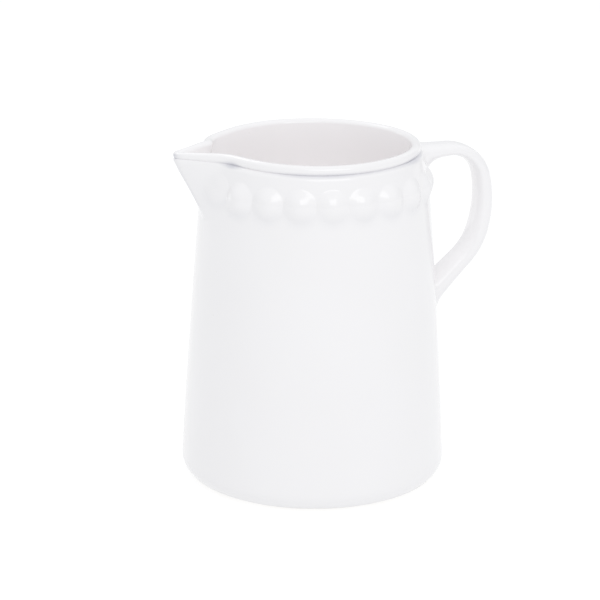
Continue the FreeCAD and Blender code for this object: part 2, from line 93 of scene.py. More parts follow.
# The spout at several heights: how far its nose arc's centre lies from the axis, and the
# half angle between its flanks, in degrees.
SPOUT_HEIGHTS = (128.0, 134.0, 142.0, 151.7, 159.0, 165.6)
SPOUT_REACH = (47.4, 50.7, 55.0, 59.6, 63.3, 66.4)
SPOUT_HALF_ANGLE = (86.0, 78.0, 64.0, 50.0, 41.0, 35.0)
FAR_FLANK_TURN = -6.0                              # gain of the angle at negative phi, at the top
TURN_START, TURN_OVER = 145.0, 20.6                # height where it sets in, and over what height
FOOT_TWIST = 4.5 * DEG                             # bearing of the foot of the keel
TWIST_START, TWIST_OVER = 134.0, 24.0              # heights over which the keel comes round to -X
SPOUT_NOSE, CHANNEL_NOSE = 4.7, 1.0                # radii of the nose arcs, outside and inside
SPOUT_WALL = 4.1

# The fillet between the spout and the round body: (radius at the spout's foot, growth above it,
# height where the growth starts, height over which it grows).
OUTER_FILLET = (1.6, 3.8, 134.0, 10.0)
INNER_FILLET = (1.5, 3.5, 136.0, 12.0)

# The rolled lip runs round the ring, through a fillet, and along the spout's flanks.
LIP_ROLL, TIP_ROLL = 2.4, 1.7                      # radius of the roll, on the ring and at the tip
LIP_RADIUS = LIP_OUTER - LIP_ROLL
LIP_NOSE = 2.0
LIP_REACH = LIP_TIP - LIP_ROLL - LIP_NOSE
# The beak was pulled by hand, so its two flanks differ: (half angle, fillet to the ring) on
# the side of positive and of negative phi.
FLANKS = ((35 * DEG, 30.0), (29 * DEG, 7.0))
SEAT_RISE = LIP_TOP - LIP_ROLL - WALL_TOP          # the roll's centre above the wall's top
TURN = 2.1                                         # height over which the wall's top rounds in
SKIRT, SPOUT_SKIRT = 27.0, 15.0                    # height over which the inside flares out
SKIRT_START, SKIRT_OVER = 14.0, 26.0               # degrees from the spout where the skirt grows
FLARE = 15 * DEG                                   # how far it leans out where it meets the roll


def arc_radius(z, start, end, curve):
    """Radius at height z of an arc from start to end, which bulges outward."""
    (r0, z0), (r1, z1) = start, end
    chord = math.hypot(r1 - r0, z1 - z0)
    rise = math.sqrt(curve ** 2 - chord ** 2 / 4)
    cr = (r0 + r1) / 2 - (z1 - z0) / chord * rise
    cz = (z0 + z1) / 2 + (r1 - r0) / chord * rise
    return cr + np.sqrt(np.maximum(curve ** 2 - (z - cz) ** 2, 0))


def body_radius(z):
    """The round body's outside, without the spout."""
    z = np.asarray(z, float)
    edge = EDGE_CENTRE[0] + np.sqrt(np.maximum(EDGE_ROUND ** 2 - (z - EDGE_CENTRE[1]) ** 2, 0))
    wall = arc_radius(z, EDGE_END, SHOULDER, WALL_CURVE)
    shoulder = arc_radius(z, SHOULDER, NECK, SHOULDER_CURVE)
    return np.where(z < EDGE_END[1], edge, np.where(z < SHOULDER[1], wall, shoulder))


def bore_radius(z):
    """The round body's inside, without the spout's channel."""
    z = np.asarray(z, float)
    turn = FLOOR_HEIGHT + FLOOR_ROUND
    floor = INNER_BASE - FLOOR_ROUND + np.sqrt(
        np.maximum(FLOOR_ROUND ** 2 - (turn - z) ** 2, 0))
    wall = arc_radius(z, (INNER_BASE, turn), INNER_SHOULDER, WALL_CURVE)
    neck = arc_radius(z, INNER_SHOULDER, INNER_NECK, INNER_BEND)
    return np.where(z < turn, floor, np.where(z < INNER_SHOULDER[1], wall, neck))


def through(z, heights, values):
    """Smooth curve through values at heights."""
    h, v = np.array(heights), np.array(values)
    slope = np.gradient(v, h)
    i = np.clip(np.searchsorted(h, z) - 1, 0, len(h) - 2)
    step = h[i + 1] - h[i]
    t = np.clip((z - h[i]) / step, 0, 1)
    return ((2 * t ** 3 - 3 * t ** 2 + 1) * v[i] + (t ** 3 - 2 * t ** 2 + t) * step * slope[i]
            + (3 * t ** 2 - 2 * t ** 3) * v[i + 1] + (t ** 3 - t ** 2) * step * slope[i + 1])


def smooth_max(a, b, blend):
    """The larger of a and b, with a fillet where they are nearly equal."""
    return np.maximum(a, b) + np.maximum(blend - np.abs(a - b), 0) ** 2 / (4 * blend)


def smooth_step(x):
    x = np.clip(x, 0, 1)
    return x * x * (3 - 2 * x)


def beak(phi, reach, half, nose):
    """Plan outline of two flanks and the nose arc between them, falling away beyond."""
    a = np.abs(phi)
    flank = reach * np.sin(half) + nose
    normal = np.pi / 2 - half
    line = flank / np.cos(np.minimum(a, normal) - normal) - np.maximum(a - normal, 0) * 30
    touch = np.arctan2(nose * np.cos(half), reach + nose * np.sin(half))
    inside = nose ** 2 - (reach * np.sin(np.minimum(a, touch))) ** 2
    arc = reach * np.cos(a) + np.sqrt(np.maximum(inside, 0))
    return np.where(a < touch, arc, line)


def spout_bearing(z):
    """Bearing of the keel: its foot was pressed on a little to one side."""
    return FOOT_TWIST * (1 - smooth_step((z - TWIST_START) / TWIST_OVER))


def spout_fillet(z, least, growth, start, over):
    """Radius of the fillet between the spout and the body at this height."""
    return least + growth * smooth_step((z - start) / over)


def half_angle(phi, z):
    """Half angle of the spout's flank on this side at this height."""
    half = through(z, SPOUT_HEIGHTS, SPOUT_HALF_ANGLE)
    gain = FAR_FLANK_TURN * smooth_step((z - TURN_START) / TURN_OVER)
    return (half + np.where(phi < 0, gain, 0)) * DEG


def lip_outline(phi, offset):
    """Plan outline at this distance outside the middle line of the lip."""
    near, far = (lip_side(phi, offset, *side) for side in FLANKS)
    return np.where(np.asarray(phi) < 0, far, near)


def lip_side(phi, offset, half, round_off):
    """The outline with both sides shaped like one of them."""
    a = np.abs(phi)
    normal = np.pi / 2 - half
    flank = LIP_REACH * math.sin(half) + LIP_NOSE
    away = LIP_RADIUS + round_off
    bearing = normal - math.acos((flank + round_off) / away)
    fillet = round_off - offset
    hollow = away * np.cos(a - bearing) - np.sqrt(
        np.maximum(fillet ** 2 - (away * np.sin(a - bearing)) ** 2, 0))
    joint_x = away * math.cos(bearing) - round_off * math.cos(normal)
    joint_y = away * math.sin(bearing) - round_off * math.sin(normal)
    joint = np.arctan2(joint_y + offset * math.sin(normal), joint_x + offset * math.cos(normal))
    pointed = beak(phi, LIP_REACH, half, LIP_NOSE + offset)
    return np.where(a > bearing, LIP_RADIUS + offset, np.where(a > joint, hollow, pointed))


def roll_radius(phi):
    """Thickness of the lip's roll, which thins towards the spout's tip."""
    along = (lip_outline(phi, 0.0) - LIP_RADIUS) / (LIP_REACH + LIP_NOSE - LIP_RADIUS)
    return LIP_ROLL + (TIP_ROLL - LIP_ROLL) * smooth_step(along)


def roll_height(phi):
    """Height of the middle of the roll."""
    return WALL_TOP + SEAT_RISE * roll_radius(phi) / LIP_ROLL


def outer_radius(phi, z):
    """The outer skin of the body and spout."""
    reach = through(z, SPOUT_HEIGHTS, SPOUT_REACH)
    half = half_angle(phi, z)
    plain = body_radius(z)
    spout = beak(phi - spout_bearing(z), reach, half, SPOUT_NOSE)
    skin = np.where(z > SPOUT_HEIGHTS[0],
                    smooth_max(plain, spout, spout_fillet(z, *OUTER_FILLET)), plain)
    roll = roll_radius(phi)
    contact = lip_outline(phi, roll * math.sqrt(1 - (SEAT_RISE / LIP_ROLL) ** 2))
    s = np.clip((z - WALL_TOP + TURN) / TURN, 0, 1)
    top = np.minimum(z, WALL_TOP)
    return skin - (skin - contact) * (1 - np.sqrt(1 - s ** 2)) * (top > WALL_TOP - TURN)


def inner_radius(phi, z):
    """The inner skin, up to the middle of the lip's roll."""
    reach = through(z, SPOUT_HEIGHTS, SPOUT_REACH)
    half = half_angle(phi, z)
    flank = reach * np.sin(half) + SPOUT_NOSE - SPOUT_WALL
    channel = beak(phi - spout_bearing(z), (flank - CHANNEL_NOSE) / np.sin(half), half,
                   CHANNEL_NOSE)
    plain = bore_radius(z)
    skin = np.where(z > SPOUT_HEIGHTS[0],
                    smooth_max(plain, channel, spout_fillet(z, *INNER_FILLET)), plain)
    roll = roll_radius(phi)
    top = roll_height(phi) + roll * math.sin(FLARE)
    away = smooth_step((np.abs(phi) / DEG - SKIRT_START) / SKIRT_OVER)
    skirt = SKIRT + (SPOUT_SKIRT - SKIRT) * (1 - away)
    turned = np.clip((z - top + skirt) / skirt, 0, 1) ** 2
    return skin * (1 - turned) + lip_outline(phi, -roll * math.cos(FLARE)) * turned


def skin_point(phi, z, radius):
    """A point from its bearing, height and radius."""
    phi, z, radius = np.broadcast_arrays(phi, z, radius)
    return np.stack([-radius * np.cos(phi), -radius * np.sin(phi), z], -1)


def skin_normal(phi, z):
    """Outward unit normal of the outer skin."""
    e, h = 1e-3, 0.05
    side = (skin_point(phi + e, z, outer_radius(phi + e, z))
            - skin_point(phi - e, z, outer_radius(phi - e, z)))
    up = (skin_point(phi, z + h, outer_radius(phi, z + h))
          - skin_point(phi, z - h, outer_radius(phi, z - h)))
    n = np.cross(side, up)
    return n / np.linalg.norm(n, axis=-1, keepdims=True)


# Irregularities of the hand: faint swells as (size, how many round the body, where they start,
# millimetres of height to a radian), and one ear and one dip, each with its size, its bearing
# and width in degrees, the height where it sets in and the height over which it grows. The
# ear's bearing runs from the spout towards +Y, the dip's from the handle towards -Y. All of
# them fade towards the axis, inside the calm radius.
SWELLS = ((0.16, 2, 0.7, 190), (0.08, 3, -1.1, -70), (0.045, 5, 0.4, 31), (0.03, 2, 0.0, 17))
EAR, EAR_BEARING, EAR_WIDTH, EAR_START, EAR_OVER = 3.2, 21.0, 14.0, 136.0, 30.0
DIP, DIP_BEARING, DIP_WIDTH, DIP_START, DIP_OVER = 0.9, 100.0, 44.0, 153.0, 13.0
CALM_RADIUS = 40.0


def hand_made(points):
    """The slight lack of roundness that a hand-finished body has, the same for every piece: a
    faint swell all round, an ear that bulges beside the spout where it was pulled, and a lip
    that dips a little on the other side."""
    x, y, z = points[..., 0], points[..., 1], points[..., 2]
    bearing, r = np.arctan2(y, x), np.hypot(x, y)
    swell = sum(size * np.sin(count * bearing + start + z / pitch)
                for size, count, start, pitch in SWELLS)
    side = (bearing / DEG + 360) % 360 - 180 + EAR_BEARING         # from the ear's middle
    ear = EAR * np.exp(-(side / EAR_WIDTH) ** 2) * smooth_step((z - EAR_START) / EAR_OVER)
    side = bearing / DEG + DIP_BEARING                             # from the dip's middle
    dip = DIP * np.exp(-(side / DIP_WIDTH) ** 2) * smooth_step((z - DIP_START) / DIP_OVER)
    calm = smooth_step(r / CALM_RADIUS)
    scale = 1 + (swell + ear) * calm / np.maximum(r, 1)
    return np.stack([x * scale, y * scale, z - dip * calm], -1)


# How strongly each place is tinted, and how wide the tint is in millimetres, or in bearing at
# the tip. In the groove under the lip the tint is pooled glaze with painted shade over it; round
# the feet of the beads it is painted shadow, most of it below; along the keel it is a painted
# shade line; at the tip it is a darker spot on the outside of the roll. On the keel, from the
# height where the line sets in, over the height where it grows; at the tip, in degrees up the
# roll.
GROOVE_TINT = 0.75
GROOVE_START, GROOVE_OVER = (0.8, 1.4), (0.8, 1.0)     # below the wall's top, at least and per run
ROLL_OVER = (24, 70)                                   # degrees up the roll, at least and per run
KEEL_TINT, KEEL_LINE, KEEL_START, KEEL_OVER = 0.34, 1.7, 132.0, 16.0
TIP_TINT, TIP_LINE, TIP_START, TIP_OVER = 0.80, 2.0 * DEG, 15, 30
# painted shadow below the beads: its strength, and the middle and width of its band
BEAD_SHADOW_TINT, SEAT_EDGE, SEAT_WIDTH = 0.10, 8.0, 2.6

# Where the groove's tint is strongest, for pooled glaze with painted shade: (bearing and width
# in degrees, share). Between these places its share grows away from the spout.
POOLS = ((24, 6, 0.85), (142, 14, 0.55), (-21, 7, 0.60), (-118, 30, 0.25), (76, 20, 0.22))
LEAST_POOL, POOL_GROWTH, POOL_START, POOL_OVER = 0.05, 0.25, 38.0, 24.0


def pooling(phi):
    """How much the groove is tinted at each bearing, for pooled glaze and painted shade: most
    beside the spout.
    """
    a = phi / DEG
    lobes = sum(size * np.exp(-((a - at) / width) ** 2) for at, width, size in POOLS)
    return LEAST_POOL + POOL_GROWTH * smooth_step((np.abs(a) - POOL_START) / POOL_OVER) + lobes


def bead_shadow(phi, z):
    """Share of painted shadow round the foot of each bead, most of it below."""
    shade = 0 * phi * z
    for bearing, height, _ in BEAD_PLACES:
        across = (phi - bearing) * body_radius(height)
        up = z - height
        away = np.hypot(across, up)
        share = np.clip(0.15 - 0.85 * up / np.maximum(away, 1), 0, 1)
        band = np.exp(-((away - SEAT_EDGE) / SEAT_WIDTH) ** 2)
        shade = np.maximum(shade, BEAD_SHADOW_TINT * share * band)
    return shade


def spaced(pairs):
    """Heights from (start, end, count) runs, joined end to end."""
    runs = [np.linspace(a, b, n, endpoint=False) for a, b, n in pairs]
    return np.concatenate(runs + [[pairs[-1][1]]])


FIRST_STEP, STEP_GROWTH, LAST_STEP = 0.16, 1.06, 1.5   # degrees between columns, and their ratio


def bearings():
    """Columns round the body: close together at the spout's nose, wider at the handle."""
    half, step = [0.0], FIRST_STEP
    while half[-1] < 180:
        half.append(half[-1] + step)
        step = min(step * STEP_GROWTH, LAST_STEP)
    half = np.array(half) * 180 / half[-1] * DEG
    return np.concatenate([-half[:0:-1], half[:-1]])


PHI = bearings()


def make_mesh(name, points, faces, pool_and_shade=None):
    """A smooth-shaded mesh object from points in millimetres. The last argument is the share at
    each point of blue grey tint, for pooled glaze and painted shade; below zero, it is the
    share of the brighter white painted inside as light."""
    mesh = bpy.data.meshes.new(name)
    mesh.from_pydata((hand_made(points) * MM).tolist(), [], faces)
    mesh.validate()
    if pool_and_shade is not None:
        # "inside" is the share of the brighter white painted inside as light
        for key, values in (("pool_and_shade", pool_and_shade), ("inside", -np.asarray(pool_and_shade))):
            layer = mesh.attributes.new(key, "FLOAT", "POINT")
            layer.data.foreach_set("value", np.clip(values, 0, 1).astype(np.float32))
    mesh.shade_smooth()
    obj = bpy.data.objects.new(name, mesh)
    bpy.context.scene.collection.objects.link(obj)
    return obj


def ring_faces(rows, columns, closed_rows=False):
    """Quads between rows of a grid that closes round its columns."""
    faces = []
    for i in range(rows if closed_rows else rows - 1):
        a, b = i * columns, (i + 1) % rows * columns
        for j in range(columns):
            k = (j + 1) % columns
            faces.append((a + j, a + k, b + k, b + j))
    return faces


def cap(faces, start, columns, centre, flip=False):
    """Triangles from one row to a middle point."""
    for j in range(columns):
        k = (j + 1) % columns
        faces.append((start + k, start + j, centre) if flip else (start + j, start + k, centre))


# --- The pieces -----------------------------------------------------------------------------

UNDERSIDE, RECESS = 49.6, 0.9                      # radius and doming of the glazed underside
UNDERSIDE_END = 0.97                               # share of that radius where it turns down
GLAZE_DROP, GLAZE_OUT = 1.1, 2.2                   # how far the glaze runs down and outward there
GLAZE_STOP = 61.9                                  # radius where the outer glaze ends, at the foot
EDGE_DROP, EDGE_OUT, EDGE_TURN = 0.45, 0.66, 108 * DEG    # the rolled edge that it ends in
# Rows inside the clay, between the two: (above the foot ring's top, radius).
BURIED = ((-0.9, 52.4), (1.0, 54.0), (1.0, 60.0), (-0.15, GLAZE_STOP))
SPOUT_FOOT = SPOUT_HEIGHTS[0]


def underside():
    """Rows from the middle of the glazed underside, over the foot ring's top, to the rolled edge
    where the outer glaze stops."""
    rows = [skin_point(PHI, FOOT_TOP + RECESS * (1 - share ** 2), UNDERSIDE * share)
            for share in np.linspace(0.06, UNDERSIDE_END, 14)]
    for a in np.linspace(0, 1, 7) * np.pi / 2:           # glaze runs down the ring's inside
        rows.append(skin_point(PHI, FOOT_TOP + 0.05 - GLAZE_DROP * (1 - np.cos(a)),
                               UNDERSIDE * UNDERSIDE_END + GLAZE_OUT * np.sin(a)))
    for up, radius in BURIED:
        rows.append(skin_point(PHI, FOOT_TOP + up, radius))
    for turn in np.linspace(0, 1, 5):                    # the rolled edge
        a = turn * EDGE_TURN
        rows.append(skin_point(PHI, FOOT_TOP + 0.1 - EDGE_DROP * np.cos(a),
                               GLAZE_STOP + 0.35 + EDGE_OUT * np.sin(a) + 0.12 * turn))
    return rows


def outer_tint(z):
    """Share of tint round the outside at this height: pooled glaze and painted shade in the
    groove, painted shade along the keel and painted shadow below the beads.
    """
    run = pooling(PHI)
    below = GROOVE_START[0] + GROOVE_START[1] * run
    over = GROOVE_OVER[0] + GROOVE_OVER[1] * run
    groove = GROOVE_TINT * run * smooth_step((z - WALL_TOP + below) / over)
    aside = (PHI - spout_bearing(z)) * outer_radius(PHI, z)
    # a painted shade line along the keel, where its surface turns away
    keel_shade = KEEL_TINT * smooth_step((z - KEEL_START) / KEEL_OVER)
    keel = keel_shade * np.exp(-(aside / KEEL_LINE) ** 2)
    return np.maximum(np.maximum(groove, keel), bead_shadow(PHI, z))


def make_vessel():
    """Body, floor and spout as one closed skin, from the middle of the underside, up the
    outside, over the top and down the inside to the middle of the floor."""
    n = len(PHI)
    rows = underside()
    pool_and_shade = [0 * PHI] * len(rows)
    z_edge = EDGE_CENTRE[1] - EDGE_ROUND * np.cos(np.linspace(44, 90, 9)[:-1] * DEG)
    bend = WALL_TOP - TURN
    for z in np.concatenate([z_edge[z_edge > FOOT_TOP + 0.5],
                             spaced([(EDGE_CENTRE[1], SPOUT_FOOT, 52), (SPOUT_FOOT, bend, 52)]),
                             bend + TURN * np.sin(np.linspace(0, 90, 13)[1:] * DEG)]):
        rows.append(skin_point(PHI, z, outer_radius(PHI, z)))
        pool_and_shade.append(outer_tint(z))
    # over the wall's top, under the lip's roll
    rows.append(skin_point(PHI, WALL_TOP + 0.25, lip_outline(PHI, 0.2)))
    rows.append(skin_point(PHI, WALL_TOP + 0.7, lip_outline(PHI, -0.35 * roll_radius(PHI))))
    for up, depth in ((0.9, 0.10), (0.45, 0.04)):        # sunk behind the lip's skirt
        z = WALL_TOP + up
        rows.append(skin_point(PHI, z, inner_radius(PHI, z) + depth))
    turn = FLOOR_HEIGHT + FLOOR_ROUND
    for z in np.concatenate([spaced([(WALL_TOP, SPOUT_FOOT, 34), (SPOUT_FOOT, turn, 34)]),
                             turn - FLOOR_ROUND * np.sin(np.linspace(0, 90, 12)[1:] * DEG)]):
        rows.append(skin_point(PHI, z, inner_radius(PHI, z)))
    for share in np.linspace(1, 0.06, 14)[1:]:           # the floor, slightly dished
        rows.append(skin_point(PHI, FLOOR_HEIGHT - FLOOR_DISH * (1 - share) ** 2,
                               (INNER_BASE - FLOOR_ROUND) * share))
    # the whole inside gets the brighter white: painted light
    pool_and_shade += [0 * PHI - 1] * (len(rows) - len(pool_and_shade))
    points = np.concatenate(rows)
    faces = ring_faces(len(rows), n)
    ends = np.array([[0, 0, FOOT_TOP + RECESS], [0, 0, FLOOR_HEIGHT - FLOOR_DISH]])
    cap(faces, 0, n, len(points), flip=True)
    cap(faces, (len(rows) - 1) * n, n, len(points) + 1)
    return make_mesh("vessel_and_spout", np.concatenate([points, ends]), faces,
                     np.concatenate(pool_and_shade + [[0, -1]]))


RING_INNER, RING_ROUND = 51.1, 1.4                 # the foot ring's inner edge
STANDING = (53.0, 54.0, 55.0, 56.0, 56.8)          # radii of the flat that it stands on
GLAZE_COAT = 0.28                                  # how far the bare clay lies inside the glaze
RING_TURN = 39 * DEG                               # how far the clay follows the rounded edge


def make_foot():
    """The bare ring: flat where it stands and rounded at both edges."""
    n = 360
    bearing = np.arange(n) * 2 * np.pi / n
    rows = [(RING_INNER + RING_ROUND * (1 - np.cos(a)), RING_ROUND * (1 - np.sin(a)))
            for a in np.linspace(0, 90, 8) * DEG]        # inner edge, from the recess down
    rows += [(r, 0.0) for r in STANDING]
    for a in np.linspace(3, RING_TURN / DEG, 9) * DEG:
        inset = GLAZE_COAT * (1 - a / RING_TURN)
        rows.append((EDGE_CENTRE[0] + (EDGE_ROUND - GLAZE_COAT) * np.sin(a),
                     EDGE_CENTRE[1] - (EDGE_ROUND - GLAZE_COAT) * np.cos(a) - inset))
    rows += [(62.4, FOOT_TOP + 0.5), (61.0, FOOT_TOP + 0.8), (53.5, FOOT_TOP + 0.8),
             (RING_INNER, FOOT_TOP + 0.3)]               # its top, hidden in the body
    points = np.concatenate([
        np.stack([r * np.cos(bearing), r * np.sin(bearing), np.full(n, max(z, 0.0))], -1)
        for r, z in rows])
    return make_mesh("foot_ring_clay", points, ring_faces(len(rows), n, closed_rows=True))


ROLL_START, GROOVE_TURN = -86, -56                 # turns round the roll, in degrees from outward


def make_lip():
    """The roll, with a skirt that runs on into the wall's inner skin."""
    n = len(PHI)
    roll, middle, run = roll_radius(PHI), roll_height(PHI), pooling(PHI)
    rows, pool_and_shade = [], []
    turns = np.concatenate([np.linspace(ROLL_START, GROOVE_TURN, 6),
                            np.linspace(GROOVE_TURN, 180 - FLARE / DEG, 38)[1:]])
    for a in turns * DEG:
        rows.append(skin_point(PHI, middle + roll * np.sin(a), lip_outline(PHI, roll * np.cos(a))))
        # the groove's tint, pooled glaze with painted shade, runs up the lower part of the roll;
        # at the tip a darker spot lies on the outside of the roll
        over = ROLL_OVER[0] + ROLL_OVER[1] * run
        groove = GROOVE_TINT * run * (1 - smooth_step((a / DEG - GROOVE_TURN) / over))
        below = 1 - smooth_step((a / DEG - TIP_START) / TIP_OVER)
        pool_and_shade.append(np.maximum(groove, TIP_TINT * np.exp(-(PHI / TIP_LINE) ** 2) * below))
    start = middle + roll * math.sin(FLARE)
    for t in np.linspace(0, 1, 9)[1:]:
        z = start + (WALL_TOP - start) * t
        rows.append(skin_point(PHI, z, inner_radius(PHI, z)))
        pool_and_shade.append(0 * PHI - min(3 * t, 1))             # the brighter white painted inside as light sets in below the roll
    for down, depth in ((0.6, 0.03), (1.4, 0.14), (1.6, 0.8)):
        z = WALL_TOP - down                              # sunk behind the wall's inner skin
        rows.append(skin_point(PHI, z, inner_radius(PHI, z) + depth))
    rows.append(skin_point(PHI, WALL_TOP - 0.9, lip_outline(PHI, -0.3)))
    pool_and_shade += [0 * PHI - 1] * (len(rows) - len(pool_and_shade))
    return make_mesh("rolled_lip_glazed", np.concatenate(rows),
                     ring_faces(len(rows), n, closed_rows=True), np.concatenate(pool_and_shade))


# A bead is a dome of this rise that feathers out to nothing at its edge, with a closed back
# sunk in the wall. A higher fullness makes it more pointed.
BEAD_RISE, BEAD_FULLNESS, BEAD_EDGE, BEAD_DEPTH = 2.8, 1.75, 8.8, 0.9
BEAD_SINK = 0.05                                   # how far the feathered edge dips into the wall
RING_CROWDING = 0.9                                # below one, the rings crowd towards the edge
HIDDEN_BEARING, HIDDEN_SHARE = 25 * DEG, 0.38      # beads this near the spout rise only so much


def bead_place(node):
    """Bearing, height and share of the rise of a bead, from its CAD box."""
    lo, hi = box_mm(node)
    middle = (lo + hi) / 2
    bearing = math.atan2(-middle[1], -middle[0])
    return bearing, middle[2], HIDDEN_SHARE if abs(bearing) < HIDDEN_BEARING else 1.0


BEAD_PLACES = [bead_place(bead) for bead in BEADS]


def make_bead(node):
    """A soft dome pressed on to the skin."""
    bearing, bead_height, share = bead_place(node)
    rings, n = 26, 72
    turn = np.arange(n) * 2 * np.pi / n
    at = float(outer_radius(np.array([bearing]), np.array([bead_height]))[0])

    def on_skin(distance):
        """Bearings, heights, points and normals of a ring this far from the bead's middle."""
        phi = bearing + distance * np.cos(turn) / at
        z = bead_height + distance * np.sin(turn)
        return phi, z, skin_point(phi, z, outer_radius(phi, z)), skin_normal(phi, z)

    rows, pool_and_shade = [], []
    for d in np.linspace(0, 1, rings + 1)[1:] ** RING_CROWDING * BEAD_EDGE:
        dome = BEAD_RISE * max(1 - (d / BEAD_EDGE) ** 2, 0) ** BEAD_FULLNESS
        height = dome * share - BEAD_SINK * float(smooth_step(d / BEAD_EDGE * 4 - 3))
        phi, z, base, normal = on_skin(d)
        rows.append(base + normal * height)
        # painted shadow below the bead, the same as on the wall round it
        pool_and_shade.append(bead_shadow(phi, z))
    for back in (1.0, 0.5):
        phi, z, base, normal = on_skin(BEAD_EDGE * back)
        rows.append(base - normal * BEAD_DEPTH)
    phi, z = np.array([bearing]), np.array([bead_height])
    base, normal = skin_point(phi, z, outer_radius(phi, z)), skin_normal(phi, z)
    points = np.concatenate(rows)
    faces = [tuple(reversed(f)) for f in ring_faces(len(rows), n)]
    cap(faces, 0, n, len(points))
    cap(faces, (len(rows) - 1) * n, n, len(points) + 1, flip=True)
    crown, back = base + normal * (BEAD_RISE * share), base - normal * BEAD_DEPTH
    points = np.concatenate([points, crown, back])
    pool_and_shade += [0 * phi] * (len(points) - rings * n)
    return make_mesh(node + "_glazed", points, faces, np.concatenate(pool_and_shade))


# The strap's middle line in the XZ plane: straight, then arcs that keep its direction, then
# straight. Each entry is (x, z, width, thickness).
STRAP = ((49.0, 160.5, 19.0, 9.5), (68.0, 161.9, 15.5, 6.4), (86.6, 147.9, 15.5, 8.0),
         (85.3, 118.9, 16.0, 9.2), (77.3, 105.6, 16.5, 9.2), (56.0, 84.35, 20.0, 12.0))


def strap_line():
    """Points, directions and section sizes every half millimetre along the strap."""
    places, marks, total = [], [0.0], 0.0
    knots = [np.array(k[:2]) for k in STRAP]
    way = (knots[1] - knots[0]) / np.linalg.norm(knots[1] - knots[0])
    for i, (a, b) in enumerate(zip(knots, knots[1:])):
        chord = b - a
        along = chord / np.linalg.norm(chord)
        straight = i in (0, len(knots) - 2)
        side = np.array([way[1], -way[0]])               # to the right of the way
        bend = 0.0 if straight else 2 * chord @ side / (chord @ chord)
        length = (np.linalg.norm(chord) if abs(bend) < 1e-9 else
                  2 * math.asin(np.linalg.norm(chord) * bend / 2) / bend)
        steps = max(int(length / 0.5), 2)
        for s in np.arange(steps) * length / steps:
            if straight:
                places.append((*(a + along * s), total + s))
            else:
                t = s * bend
                places.append((*(a + (way * math.sin(t) + side * (1 - math.cos(t))) / bend),
                               total + s))
        if straight:
            way = along
        else:
            t = length * bend
            way = way * math.cos(t) + side * math.sin(t)
        total += length
        marks.append(total)
    places.append((*knots[-1], total))
    places = np.array(places)
    s = places[:, 2]
    line = places[:, :2]
    tangent = np.gradient(line, s, axis=0)
    tangent /= np.linalg.norm(tangent, axis=1, keepdims=True)
    width = through(s, marks, [k[2] for k in STRAP])
    thick = through(s, marks, [k[3] for k in STRAP])
    return s, line, tangent, width / 2, thick / 2


STRAP_POWER, INNER_SIDE = 2 / 2.5, 0.96            # squareness of the section; flatter inner face
# Tangent length of the fillets where the strap meets the wall: beside it, on its outer side
# (above at the root, below at the lower end) and on its inner side.
ROOT_FILLET = (2.6, 0.9, 14.0)
END_FILLET = (3.6, 9.0, 3.0)
STRAP_STEPS, CURVE_POINTS = 190, 15                # rows along the bare strap and each fillet
FEATHER = (0.10, 0.03, 0.01)                       # how deep the fillet's first points lie
ROOT_DEPTH = 1.2                                   # how deep the row before them is hidden


